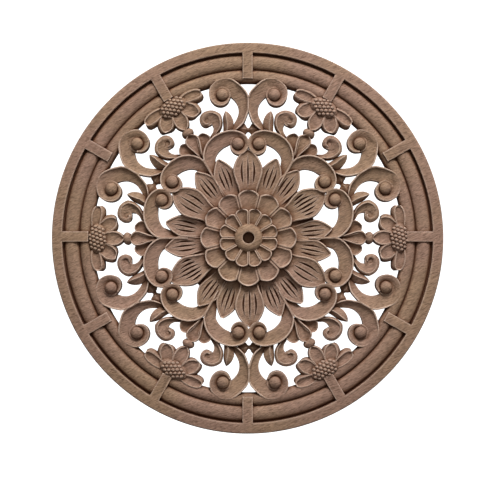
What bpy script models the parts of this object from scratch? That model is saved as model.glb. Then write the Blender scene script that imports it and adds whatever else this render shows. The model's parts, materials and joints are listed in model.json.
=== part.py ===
"""Round pierced wood rosette, carved from one flat board.

Plan sizes are in millimetres from the rosette's middle, and heights in millimetres up from its flat back.
The rosette is drawn lying on its back and then stood up, so its face looks along -Y and its back is the
plane Y = 0. The scrollwork repeats in six equal sectors, one to each sunflower. A sector is drawn with its
own Y axis running out from the middle through the sunflower and its X axis to the right, and mirrored about
that axis.
"""

import math

import bmesh
import bpy
import numpy as np

# Driving dimensions
MM = 0.001
RADIUS = 200.0
RIM_WIDTH = 41.0
BAND_HEIGHT = 15.0
SECTOR_ANGLES = range(0, 360, 60)
STRAP_ANGLES = range(0, 360, 30)
FOOT = 0.0  # every form stands on the back plane
BACK_SNAP = 0.1  # a corner this near the back plane, or behind it, is put on it
RIM_STEPS = 48
FACETS_KEPT = 0.335  # share of the joined forms' triangles that the finished solid keeps

# The turned rim, from its inner foot over the top to its outer foot: (radius, height)
RIM_PROFILE = (
    (RADIUS - RIM_WIDTH, FOOT),
    (RADIUS - RIM_WIDTH, 9.2),
    (163.5, 12.8),
    (169.0, 12.8),
    (172.5, 10.0),
    (175.5, 12.8),
    (184.0, 13.4),
    (188.3, 9.6),
    (189.5, BAND_HEIGHT),
    (199.0, BAND_HEIGHT),
    (RADIUS, 14.0),
    (RADIUS, FOOT),
)

# Straps that cross the rim
STRAP_WIDTH = 10.6
STRAP_ARRIS = 0.6
STRAP_HEIGHT = BAND_HEIGHT - 0.05
STRAP_ENDS = (162.6, 192.0)

# Scrolls: a tail as (outer edge x, y, inner edge x, y, ridge height), then a volute round its hub as
# (angle, radius of the outer edge, ridge height)
TAIL_HOLLOW = 4.4
VOLUTE_HOLLOW = 5.2
HOLLOW_BEND = (0.35, 0.6)  # the hollow reaches this share of its depth at this share of the width
OUTER_TAIL = (
    (43.0, 101.8, 37.0, 106.2, 11.4),
    (55.0, 104.5, 48.5, 110.6, 13.0),
    (63.8, 111.6, 56.0, 117.0, 13.8),
    (71.3, 122.0, 58.7, 124.5, 14.2),
    (73.9, 130.6, 56.9, 134.2, 14.2),
)
OUTER_HUB = (50.5, 140.7)
OUTER_VOLUTE = (
    (8, 21.4, 14.0),
    (48, 18.6, 13.4),
    (88, 15.7, 13.4),
    (126, 15.0, 13.6),
    (164, 14.3, 14.0),
    (202, 13.8, 14.2),
    (238, 12.8, 14.0),
    (272, 11.0, 13.6),
    (304, 9.3, 13.0),
)
INNER_TAIL = (
    (-0.5, 66.0, 3.4, 66.0, 11.4),
    (-0.5, 90.0, 10.6, 85.6, 13.0),
    (7.0, 102.0, 15.0, 90.4, 14.0),
    (18.0, 107.4, 21.4, 92.8, 14.2),
    (30.0, 107.8, 30.6, 92.4, 14.2),
)
INNER_HUB = (39.0, 89.0)
INNER_VOLUTE = (
    (84, 15.3, 14.2),
    (50, 13.1, 14.2),
    (15, 12.1, 14.2),
    (-20, 11.7, 14.2),
    (-55, 11.5, 14.2),
    (-92, 11.9, 14.0),
    (-128, 11.3, 13.8),
    (-162, 9.8, 13.4),
    (-196, 8.5, 13.0),
)
HOOK_TAIL = (
    (24.0, 104.6, 16.0, 107.0, 11.4),
    (33.4, 112.0, 22.2, 111.8, 13.0),
    (38.8, 121.0, 26.0, 118.6, 13.8),
)
HOOK_HUB = (24.0, 125.0)
HOOK_VOLUTE = (
    (8, 14.0, 13.8),
    (45, 11.2, 13.8),
    (90, 9.5, 13.6),
    (138, 8.5, 13.2),
    (184, 7.7, 13.0),
    (232, 6.5, 12.6),
    (274, 4.4, 12.2),
)
HUB_RADIUS = 4.0
HOOK_HUB_RADIUS = 2.0

# Beads in the eyes of the scrolls and under the sunflowers
BEAD_RADIUS = 6.1
BEAD_TOP = 16.6
MOAT_FLOOR = 9.2
BEAD_FOOT_RADIUS = 8.4
AXIS_BEAD = (0.0, 124.3)
AXIS_BEAD_HALVES = (6.4, 4.7)
AXIS_BEAD_TOP = 14.6
BEAD_SIDES = 8

# Petals and leaves of a sector: (left edge x, y, right edge x, y, edge height)
PALMETTE_MIDDLE = (
    (-1.8, 97.0, 1.8, 97.0, 12.6),
    (-5.4, 110.0, 5.4, 110.0, 13.6),
    (-5.8, 116.6, 5.8, 116.6, 13.6),
    (-1.8, 121.0, 1.8, 121.0, 13.2),
)
PALMETTE_SIDE = (
    (0.6, 98.0, 6.0, 97.0, 11.6),
    (3.3, 108.0, 17.0, 107.4, 12.4),
    (5.0, 113.0, 16.4, 111.4, 12.6),
    (8.2, 115.9, 13.6, 115.4, 12.3),
)
SCROLL_LEAF = (
    (32.0, 107.0, 44.0, 107.0, 9.0),
    (37.0, 116.0, 47.6, 115.4, 10.2),
    (39.2, 120.8, 48.0, 119.6, 10.4),
    (42.2, 123.0, 46.6, 122.7, 10.2),
)
SUN_PETAL_LOW = (
    (-5.2, 148.0, 5.2, 148.0, 13.8),
    (-6.6, 139.6, 6.6, 139.6, 14.2),
    (-5.0, 132.4, 5.0, 132.4, 13.8),
    (-1.6, 128.4, 1.6, 128.4, 13.2),
)
SUN_PETAL_SLANTED = (
    (4.6, 149.6, 16.0, 151.0, 13.6),
    (7.6, 140.6, 21.2, 144.0, 14.0),
    (12.2, 135.8, 21.5, 138.2, 13.8),
    (16.8, 134.9, 20.2, 135.8, 13.4),
)
SUN_PETAL_LEVEL = (
    (13.0, 152.4, 13.0, 160.0, 13.4),
    (24.0, 150.0, 23.6, 160.4, 13.8),
    (30.8, 150.5, 30.4, 158.2, 13.6),
    (33.3, 153.0, 33.1, 155.8, 13.2),
)
SUN_PETAL_FLARE = 3.0
LEAF_FLARE = 0.8
PETAL_HOLLOW = 2.3
LEAF_RIB = 3.0
PETAL_RIB = 1.0
SUN_CORE = (0.0, 155.0)
SUN_CORE_HALVES = (16.0, 9.6)
SUN_CORE_TOP = 17.4
SUN_CORE_SIDES = 12

# The bud that links neighbouring scrolls beside each line half-way between two sunflowers, drawn beside
# that line as a petal is beside its sector's axis
LINK_BUD = (
    (-0.3, 113.1, -0.3, 110.5, 3.8),
    (4.0, 115.0, 4.0, 108.8, 6.0),
    (12.0, 114.8, 12.0, 108.6, 6.6),
)
BUD_RIB = 2.0

# The middle flower: petals as (distance out, half width, edge height)
FLOWER_PETAL = (
    (42.0, 7.6, 12.4),
    (55.0, 10.5, 14.0),
    (66.0, 14.2, 14.8),
    (73.0, 14.1, 14.8),
    (81.0, 10.8, 14.4),
    (87.8, 5.1, 13.8),
    (90.8, 0.9, 13.4),
)
FLOWER_PETAL_TIPS = (30.5, 90.5, 148.5, 209.0, 271.0, 329.5)
UNDER_PETAL = (
    (42.0, 6.0, 9.7),
    (60.0, 9.4, 11.0),
    (69.0, 10.6, 11.8),
    (77.0, 8.0, 12.0),
    (83.0, 3.8, 11.8),
    (86.2, 0.8, 11.6),
)
UNDER_PETAL_TIPS = (349.0, 53.5, 111.0, 169.3, 233.5, 292.5, 6.5, 70.5, 128.5, 187.0, 251.5, 309.5)
UNDER_PETALS_TO_A_SET = 6
MIDDLE_RING_PETAL = (
    (28.0, 6.6, 15.2),
    (43.4, 10.8, 17.2),
    (46.6, 7.8, 17.4),
    (48.5, 2.6, 17.4),
)
INNER_RING_PETAL = (
    (13.0, 3.0, 17.2),
    (26.0, 6.1, 19.0),
    (28.5, 4.5, 19.2),
    (29.8, 1.6, 19.2),
)
RING_FLARE = 1.2
RING_HOLLOW = 2.4

# The boss under the rings, with its dome and blind hole: (radius, height) from the hole's floor to the foot
HOLE_RADIUS = 5.9
HOLE_FLOOR = 6.0
BOSS_PROFILE = (
    (0.0, HOLE_FLOOR),
    (HOLE_RADIUS, HOLE_FLOOR),
    (HOLE_RADIUS, 19.4),
    (6.7, 20.0),
    (9.6, 19.7),
    (12.4, 18.6),
    (14.6, 16.4),
    (30.0, 13.6),
    (47.0, 10.0),
    (58.0, 6.6),
    (70.0, 3.6),
    (70.0, FOOT),
    (0.0, FOOT),
)
BOSS_STEPS = 20

# V-shaped veins cut in the petals: (degrees from the petal's tip, start radius, end radius)
VEIN_HALF_WIDTH = 1.3
FINE_VEIN_HALF_WIDTH = 0.9
VEIN_DEPTH = 2.2
VEIN_CUTTER_RISE = 1.0  # how far a cutter stands above the petal
THREE_VEINS = ((-6.5, 59.0, 77.0), (0.0, 57.0, 87.0), (6.5, 59.0, 77.0))
SIX_VEINS = (
    (-7.5, 57.0, 75.0),
    (-3.8, 57.0, 81.0),
    (-0.4, 57.0, 86.0),
    (2.8, 57.0, 82.0),
    (5.8, 58.0, 77.0),
    (8.8, 59.0, 73.0),
)
MANY_VEINED_TIPS = (30.5, 209.0)
FLOWER_VEIN_SURFACE = 13.6
UNDER_VEIN_SURFACE = 10.8
UNDER_VEINS = ((-5.0, 57.0, 74.0), (0.0, 56.0, 80.0), (5.0, 57.0, 74.0))


def turned(points, degrees, mirrored=False):
    """Points drawn beside a Y axis that runs out from the middle, with that axis turned to this angle."""
    points = np.asarray(points, float).copy()
    if mirrored:
        points[:, 0] *= -1
    angle = math.radians(degrees - 90)
    cos, sin = math.cos(angle), math.sin(angle)
    return points @ np.array([[cos, sin, 0], [-sin, cos, 0], [0, 0, 1]])


def round_the_six(sections, mirrored=False):
    """One body repeated in the six sectors."""
    return [[turned(section, angle, mirrored) for section in sections] for angle in SECTOR_ANGLES]


def both_hands(sections):
    """One body repeated on both sides of each of the six sector axes."""
    return round_the_six(sections) + round_the_six(sections, mirrored=True)


def scroll(tail, hub, hub_radius, volute):
    """Sections of a scroll: a ridge along the outer edge, and a hollow that deepens to the inner edge."""
    stations = [(*row, TAIL_HOLLOW) for row in tail]
    for degrees, radius, height in volute:
        out = np.array((math.cos(math.radians(degrees)), math.sin(math.radians(degrees))))
        stations.append((*(hub + radius * out), *(hub + hub_radius * out), height, VOLUTE_HOLLOW))
    sections = []
    for outer_x, outer_y, inner_x, inner_y, height, hollow in stations:
        outer, inner = np.array((outer_x, outer_y)), np.array((inner_x, inner_y))
        slope = ((0, height), (HOLLOW_BEND[0], height - HOLLOW_BEND[1] * hollow), (1, height - hollow))
        steps = ((0, FOOT), *slope, (1, FOOT))
        sections.append(np.array([(*(outer + share * (inner - outer)), up) for share, up in steps]))
    return sections


def petal(stations, flare, hollow, rib=0.0):
    """Sections of a petal: raised edges, a hollow with an optional rib, and sides that flare to the back."""
    sections = []
    last = len(stations) - 1
    for i, (left_x, left_y, right_x, right_y, height) in enumerate(stations):
        left, right = np.array((left_x, left_y)), np.array((right_x, right_y))
        middle, half = (left + right) / 2, (right - left) / 2
        reach = flare / np.linalg.norm(half)
        dip = hollow * (0.25 if i == last else 1)
        left_side, right_side = ((-1 - reach, FOOT), (-1, height)), ((1, height), (1 + reach, FOOT))
        bed = ((0, height - dip),)
        if rib:
            bed = ((-0.5, height - dip), (0, height - dip + rib), (0.5, height - dip))
        steps = (*left_side, *bed, *right_side)
        sections.append(np.array([(*(middle + share * half), up) for share, up in steps]))
    return sections


def straight_petal(stations, degrees, flare, hollow, rib=0.0):
    """Sections of a petal of the middle flower, which points straight out at this angle."""
    rows = [(-half, out, half, out, height) for out, half, height in stations]
    return [turned(section, degrees) for section in petal(rows, flare, hollow, rib)]


def ring(centre, halves, height, sides):
    """One level section: an ellipse of points."""
    around = np.radians(np.arange(sides) * 360 / sides)
    plan = (centre[0] + halves[0] * np.cos(around), centre[1] + halves[1] * np.sin(around))
    return np.column_stack((*plan, np.full(sides, height)))


def dome(centre, halves, base, top, sides, foot=None):
    """Sections of a rounded knob, whose foot may be wider or narrower than the knob."""
    sections = [ring(centre, foot or halves, FOOT, sides)]
    for lift in (0, 40, 75):
        level = base + (top - base) * math.sin(math.radians(lift))
        size = math.cos(math.radians(lift))
        sections.append(ring(centre, (halves[0] * size, halves[1] * size), level, sides))
    return sections


def strap():
    """Sections of one strap across the rim, its long edges broken."""
    half = STRAP_WIDTH / 2
    steps = (
        (-half, FOOT),
        (-half, STRAP_HEIGHT - STRAP_ARRIS),
        (-half + STRAP_ARRIS, STRAP_HEIGHT),
        (half - STRAP_ARRIS, STRAP_HEIGHT),
        (half, STRAP_HEIGHT - STRAP_ARRIS),
        (half, FOOT),
    )
    return [np.array([(across, out, up) for across, up in steps]) for out in STRAP_ENDS]


def vein(degrees, start, end, half_width, surface):
    """Sections of the cutter for one vein: a V that swells from a point to its full width and back."""
    sections = []
    for share, size in ((0.0, 0.05), (0.4, 1.0), (1.0, 0.05)):
        out = start + (end - start) * share
        wide = half_width * size * (1 + VEIN_CUTTER_RISE / VEIN_DEPTH)
        top = surface + VEIN_CUTTER_RISE
        shape = ((-wide, out, top), (0, out, surface - VEIN_DEPTH * size), (wide, out, top))
        sections.append(turned(shape, degrees))
    return sections


def skin(bm, sections):
    """One closed body through closed sections of equal length."""
    rings = [[bm.verts.new(point * MM) for point in section] for section in sections]
    for near, far in zip(rings, rings[1:]):
        for i, corner in enumerate(near):
            after = (i + 1) % len(near)
            bm.faces.new((corner, near[after], far[after], far[i]))
    bm.faces.new(rings[0])
    bm.faces.new(rings[-1])


def new_object(name, mesh, collection, stand):
    """An object in a collection, held upright by the stand."""
    obj = bpy.data.objects.new(name, mesh)
    obj.parent = stand
    collection.objects.link(obj)
    return obj


def hide_as_guide(obj):
    obj.hide_render = True
    obj.display_type = "WIRE"


def form(name, bodies, collection, stand):
    """A hidden object that holds closed bodies which don't meet each other."""
    bm = bmesh.new()
    for sections in bodies:
        skin(bm, sections)
    bmesh.ops.recalc_face_normals(bm, faces=bm.faces)
    bmesh.ops.triangulate(bm, faces=bm.faces)
    mesh = bpy.data.meshes.new(name)
    bm.to_mesh(mesh)
    bm.free()
    obj = new_object(name, mesh, collection, stand)
    hide_as_guide(obj)
    return obj


def lathe(name, profile, closed, steps, collection, stand):
    """A profile turned about the rosette's axis by a Screw modifier."""
    points = [(radius * MM, 0, up * MM) for radius, up in profile]
    edges = [(i, i + 1) for i in range(len(points) - 1)]
    if closed:
        edges.append((len(points) - 1, 0))
    mesh = bpy.data.meshes.new(name)
    mesh.from_pydata(points, edges, [])
    obj = new_object(name, mesh, collection, stand)
    screw = obj.modifiers.new("Turn", "SCREW")
    screw.steps = screw.render_steps = steps
    screw.use_merge_vertices = True
    screw.merge_threshold = 0.00001
    screw.use_normal_calculate = False
    return obj


def add_scrollwork(forms, stand):
    """The scrolls, beads, palmettes and leaves of the six sectors."""
    outer = scroll(OUTER_TAIL, OUTER_HUB, HUB_RADIUS, OUTER_VOLUTE)
    inner = scroll(INNER_TAIL, INNER_HUB, HUB_RADIUS, INNER_VOLUTE)
    hook = scroll(HOOK_TAIL, HOOK_HUB, HOOK_HUB_RADIUS, HOOK_VOLUTE)
    for hand, mirrored in (("right", False), ("left", True)):
        form(f"outer_scrolls_{hand}", round_the_six(outer, mirrored), forms, stand)
        form(f"inner_scrolls_{hand}", round_the_six(inner, mirrored), forms, stand)
    form("hook_scrolls", both_hands(hook), forms, stand)
    bead, foot = (BEAD_RADIUS, BEAD_RADIUS), (BEAD_FOOT_RADIUS, BEAD_FOOT_RADIUS)
    for name, hub in (("outer", OUTER_HUB), ("inner", INNER_HUB)):
        knob = dome(hub, bead, MOAT_FLOOR, BEAD_TOP, BEAD_SIDES, foot)
        form(f"{name}_beads", both_hands(knob), forms, stand)
    axis_bead = dome(AXIS_BEAD, AXIS_BEAD_HALVES, MOAT_FLOOR, AXIS_BEAD_TOP, BEAD_SIDES)
    form("axis_beads", round_the_six(axis_bead), forms, stand)
    palmette_middle = petal(PALMETTE_MIDDLE, LEAF_FLARE, PETAL_HOLLOW)
    form("palmette_middles", round_the_six(palmette_middle), forms, stand)
    form("palmette_sides", both_hands(petal(PALMETTE_SIDE, 0.0, PETAL_HOLLOW)), forms, stand)
    form("scroll_leaves", both_hands(petal(SCROLL_LEAF, 0.0, -LEAF_RIB)), forms, stand)
    bud = petal(LINK_BUD, 0.0, -BUD_RIB)
    for hand, mirrored in (("right", False), ("left", True)):
        buds = [[turned(section, angle + 30, mirrored) for section in bud] for angle in SECTOR_ANGLES]
        form(f"link_buds_{hand}", buds, forms, stand)


def add_sunflowers(forms, stand):
    """The six sunflowers against the rim: a domed core over five petals."""
    core = dome(SUN_CORE, SUN_CORE_HALVES, BAND_HEIGHT - 2, SUN_CORE_TOP, SUN_CORE_SIDES)
    form("sunflower_cores", round_the_six(core), forms, stand)
    low = petal(SUN_PETAL_LOW, LEAF_FLARE, PETAL_HOLLOW)
    form("sunflower_low_petals", round_the_six(low), forms, stand)
    slanted = petal(SUN_PETAL_SLANTED, SUN_PETAL_FLARE, PETAL_HOLLOW)
    form("sunflower_slanted_petals", both_hands(slanted), forms, stand)
    level = petal(SUN_PETAL_LEVEL, SUN_PETAL_FLARE, PETAL_HOLLOW)
    form("sunflower_level_petals", both_hands(level), forms, stand)


def add_middle_flower(forms, stand):
    """The big flower: two layers of pointed petals, two rings of spoon petals and the boss."""
    edges = (LEAF_FLARE, PETAL_HOLLOW, PETAL_RIB)
    big = [straight_petal(FLOWER_PETAL, tip, *edges) for tip in FLOWER_PETAL_TIPS]
    form("flower_petals", big, forms, stand)
    under = [straight_petal(UNDER_PETAL, tip, LEAF_FLARE, PETAL_HOLLOW / 2) for tip in UNDER_PETAL_TIPS]
    form("under_petals_first", under[:UNDER_PETALS_TO_A_SET], forms, stand)
    form("under_petals_second", under[UNDER_PETALS_TO_A_SET:], forms, stand)
    for name, shape, first in (("middle_ring", MIDDLE_RING_PETAL, 0), ("inner_ring", INNER_RING_PETAL, 15)):
        for turn in (0, 30):
            angles = range(first + turn, 360 + first, 60)
            petals = [straight_petal(shape, angle, RING_FLARE, RING_HOLLOW) for angle in angles]
            form(f"{name}_{turn}", petals, forms, stand)


def add_veins(cuts, stand):
    """The cutters for the veins of the petals."""
    veins = []
    for tip in FLOWER_PETAL_TIPS:
        pattern, half = THREE_VEINS, VEIN_HALF_WIDTH
        if tip in MANY_VEINED_TIPS:
            pattern, half = SIX_VEINS, FINE_VEIN_HALF_WIDTH
        veins += [vein(tip + aside, start, end, half, FLOWER_VEIN_SURFACE) for aside, start, end in pattern]
    form("flower_veins", veins, cuts, stand)
    under = []
    for tip in UNDER_PETAL_TIPS:
        pattern = [(tip + aside, start, end) for aside, start, end in UNDER_VEINS]
        under += [vein(*place, VEIN_HALF_WIDTH, UNDER_VEIN_SURFACE) for place in pattern]
    form("under_veins", under, cuts, stand)


def wood():
    material = bpy.data.materials.new("carved_wood")
    material.use_nodes = True
    shader = material.node_tree.nodes["Principled BSDF"]
    shader.inputs["Base Color"].default_value = (0.36, 0.23, 0.16, 1)
    shader.inputs["Roughness"].default_value = 0.6
    shader.inputs["Metallic"].default_value = 0.0
    return material


def add_booleans(obj, operation, others):
    """A union with, or a cut by, each of the others. EXACT leaves gaps where mirrored scrolls cross."""
    for other in others:
        modifier = obj.modifiers.new(other.name, "BOOLEAN")
        modifier.operation = operation
        modifier.object = other
        modifier.solver = "MANIFOLD"


def add_carving(forms, cuts, guides, stand):
    """Everything inside the rim: the forms joined on to the boss, veined, thinned and flat at the back."""
    carving = lathe("boss_and_carving", BOSS_PROFILE, False, BOSS_STEPS, guides, stand)
    hide_as_guide(carving)
    add_scrollwork(forms, stand)
    add_sunflowers(forms, stand)
    add_middle_flower(forms, stand)
    add_veins(cuts, stand)
    add_booleans(carving, "UNION", forms.objects)
    add_booleans(carving, "DIFFERENCE", cuts.objects)
    thin = carving.modifiers.new("Fewer facets", "DECIMATE")
    thin.ratio = FACETS_KEPT
    bpy.context.view_layer.update()
    graph = bpy.context.evaluated_depsgraph_get()
    joined = bpy.data.meshes.new_from_object(carving.evaluated_get(graph))
    for vertex in joined.vertices:
        if vertex.co.z < BACK_SNAP * MM:
            vertex.co.z = 0
    carving.modifiers.clear()
    carving.data = joined
    return carving


def main():
    for obj in list(bpy.data.objects):
        bpy.data.objects.remove(obj)
    names = ("rosette", "joined_forms", "carved_forms", "cutters")
    rosette_parts, joined, forms, cuts = (bpy.data.collections.new(name) for name in names)
    for collection in (rosette_parts, joined, forms, cuts):
        bpy.context.scene.collection.children.link(collection)
    stand = bpy.data.objects.new("stand", None)
    stand.rotation_euler.x = math.radians(90)
    rosette_parts.objects.link(stand)
    rosette = lathe("carved_rosette", RIM_PROFILE, True, RIM_STEPS, rosette_parts, stand)
    rosette.data.materials.append(wood())
    strap_bodies = [[turned(section, angle) for section in strap()] for angle in STRAP_ANGLES]
    straps = form("straps", strap_bodies, joined, stand)
    carving = add_carving(forms, cuts, joined, stand)
    add_booleans(rosette, "UNION", [straps, carving])


main()
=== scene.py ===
"""Looks of the round pierced wood rosette: the finished carving, its wood, the light, the ground and the camera.

Plan sizes are in millimetres from the rosette's middle, and heights in millimetres up from its flat back. The
carving is drawn lying on its back and then stood up, so its face looks along -Y. A sector's own Y axis runs out
from the middle through its sunflower and its X axis to the right, and the sector is mirrored about that axis.
"""

import json
import logging
import math
from collections.abc import Iterable, Sequence
from dataclasses import dataclass
from enum import Enum

import bmesh
import bpy
import numpy as np
from mathutils import Matrix, Vector
from mathutils.bvhtree import BVHTree

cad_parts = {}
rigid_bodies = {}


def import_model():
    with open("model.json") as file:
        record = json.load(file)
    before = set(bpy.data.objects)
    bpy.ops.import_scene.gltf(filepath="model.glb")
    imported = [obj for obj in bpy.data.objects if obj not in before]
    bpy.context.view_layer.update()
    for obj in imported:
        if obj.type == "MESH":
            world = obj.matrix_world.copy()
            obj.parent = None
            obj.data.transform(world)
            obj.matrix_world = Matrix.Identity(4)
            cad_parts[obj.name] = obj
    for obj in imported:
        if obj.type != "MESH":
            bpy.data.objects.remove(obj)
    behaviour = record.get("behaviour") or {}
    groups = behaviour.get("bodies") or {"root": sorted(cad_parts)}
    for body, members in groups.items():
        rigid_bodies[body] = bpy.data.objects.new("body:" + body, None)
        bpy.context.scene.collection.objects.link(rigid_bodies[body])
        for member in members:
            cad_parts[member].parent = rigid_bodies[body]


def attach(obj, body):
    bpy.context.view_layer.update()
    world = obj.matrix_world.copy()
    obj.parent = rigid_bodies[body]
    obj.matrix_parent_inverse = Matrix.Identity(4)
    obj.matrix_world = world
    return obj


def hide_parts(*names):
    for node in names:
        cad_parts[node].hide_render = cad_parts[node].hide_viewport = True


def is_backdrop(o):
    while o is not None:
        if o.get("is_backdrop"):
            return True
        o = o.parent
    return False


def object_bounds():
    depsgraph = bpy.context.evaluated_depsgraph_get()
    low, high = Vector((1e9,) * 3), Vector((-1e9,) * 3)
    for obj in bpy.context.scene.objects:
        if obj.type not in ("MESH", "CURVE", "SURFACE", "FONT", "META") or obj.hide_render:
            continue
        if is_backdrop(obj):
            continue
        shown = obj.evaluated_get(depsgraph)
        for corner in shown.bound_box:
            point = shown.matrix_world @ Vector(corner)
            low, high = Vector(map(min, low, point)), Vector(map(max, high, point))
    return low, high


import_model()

log = logging.getLogger("rosette")

MM = 0.001
NODE = "carved_rosette"
FULL_TURN = 360
SECTOR = 60
SECTORS = tuple(range(0, FULL_TURN, SECTOR))
SECTOR_EDGES = tuple(range(SECTOR // 2, FULL_TURN + SECTOR // 2, SECTOR))

Row = tuple[float, ...]
Plan = tuple[float, float]
Triple = tuple[float, float, float]
Section = list[Vector]
Body = bmesh.types.BMesh


class Hand(Enum):
    """The side of its sector's axis that a form lies on."""

    RIGHT = 1
    LEFT = -1


def smooth(rows: Sequence[Row], steps: int) -> list[Row]:
    """Lays a smooth curve through rows of numbers.

    Args:
        rows: The stations the curve passes through.
        steps: How many stations replace each one.

    Returns:
        The stations of the curve, with the first and the last as given.
    """
    given = np.array(rows, float)
    ends = np.vstack((2 * given[0] - given[1], given, 2 * given[-1] - given[-2]))
    curve = []
    for a, b, c, d in zip(ends, ends[1:], ends[2:], ends[3:]):
        for t in np.arange(steps) / steps:
            curve.append(b + t * (c - a + t * (2 * a - 5 * b + 4 * c - d + t * (3 * (b - c) + d - a))) / 2)
    return [tuple(row) for row in (*curve, given[-1])]


def loft(sections: Sequence[Section]) -> Body:
    """Extrudes a face from each closed section to the next, into one closed body.

    Args:
        sections: Outlines with the same number of points.

    Returns:
        The body, with its faces pointing outwards.
    """
    bm = bmesh.new()
    ring = [bm.verts.new(point) for point in sections[0]]
    bm.faces.new(ring)
    for section in sections[1:]:
        edges = [bm.edges.get(pair) for pair in zip(ring, ring[1:] + ring[:1])]
        made = bmesh.ops.extrude_edge_only(bm, edges=edges)["geom"]
        fresh = {item for item in made if isinstance(item, bmesh.types.BMVert)}
        ring = [next(o for o in (e.other_vert(v) for e in v.link_edges) if o in fresh) for v in ring]
        for corner, point in zip(ring, section):
            corner.co = point
    bm.faces.new(ring)
    bmesh.ops.recalc_face_normals(bm, faces=bm.faces)
    return bm


def turn_profile(profile: Sequence[Plan], steps: int, closed: bool, centre: Plan = (0.0, 0.0)) -> Body:
    """Turns a profile on the lathe.

    Args:
        profile: Points as (radius, height).
        steps: Steps in the full turn.
        closed: Whether the profile closes on itself, as a ring's does, or ends on the axis.
        centre: The place of the axis in the plan.

    Returns:
        The turned body.
    """
    bm = bmesh.new()
    points = [bm.verts.new((centre[0] + radius, centre[1], up)) for radius, up in profile]
    pairs = list(zip(points, points[1:]))
    if closed:
        pairs.append((points[-1], points[0]))
    edges = [bm.edges.new(pair) for pair in pairs]
    axis = {"cent": (*centre, 0), "axis": (0, 0, 1), "angle": math.tau}
    bmesh.ops.spin(bm, geom=points + edges, steps=steps, use_merge=True, **axis)
    bmesh.ops.remove_doubles(bm, verts=bm.verts, dist=0.001)
    bmesh.ops.recalc_face_normals(bm, faces=bm.faces)
    return bm


def arc(centre: Plan, halves: Plan, start: float, end: float, steps: int) -> list[Plan]:
    """Points along an elliptical arc, from one angle in degrees to another."""
    angles = np.radians(np.linspace(start, end, steps + 1))
    return [(centre[0] + halves[0] * math.cos(a), centre[1] + halves[1] * math.sin(a)) for a in angles]


class Family:
    """Closed bodies gathered for one union, of which none meet but the sunflowers' knobs."""

    def __init__(self, name: str) -> None:
        """Starts an empty family."""
        self.name = name
        self.mesh = bmesh.new()

    def add(self, body: Body, degrees: float = 90.0, hand: Hand = Hand.RIGHT) -> None:
        """Adds a copy of a body.

        Args:
            body: The body, drawn beside a Y axis that runs out from the middle.
            degrees: The angle that this axis is turned to.
            hand: LEFT mirrors the body about that axis first.
        """
        copy = bpy.data.meshes.new(self.name)
        body.to_mesh(copy)
        mirror = Matrix.Scale(hand.value, 4, (1, 0, 0))
        copy.transform(Matrix.Rotation(math.radians(degrees - 90), 4, "Z") @ mirror)
        self.mesh.from_mesh(copy)
        bpy.data.meshes.remove(copy)

    def add_round(self, body: Body, hand: Hand = Hand.RIGHT) -> None:
        """Adds a copy of a body in each of the six sectors."""
        for degrees in SECTORS:
            self.add(body, degrees, hand)

    def add_both_hands(self, body: Body) -> None:
        """Adds a copy of a body on each side of the six sectors' axes."""
        for hand in Hand:
            self.add_round(body, hand)

    def finish(self) -> bpy.types.Object:
        """Makes the family an object for a Boolean, and leaves it out of the scene.

        Returns:
            The object, named as the family is.
        """
        bmesh.ops.recalc_face_normals(self.mesh, faces=self.mesh.faces)
        mesh = bpy.data.meshes.new(self.name)
        self.mesh.to_mesh(mesh)
        self.mesh.free()
        return bpy.data.objects.new(self.name, mesh)


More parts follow.
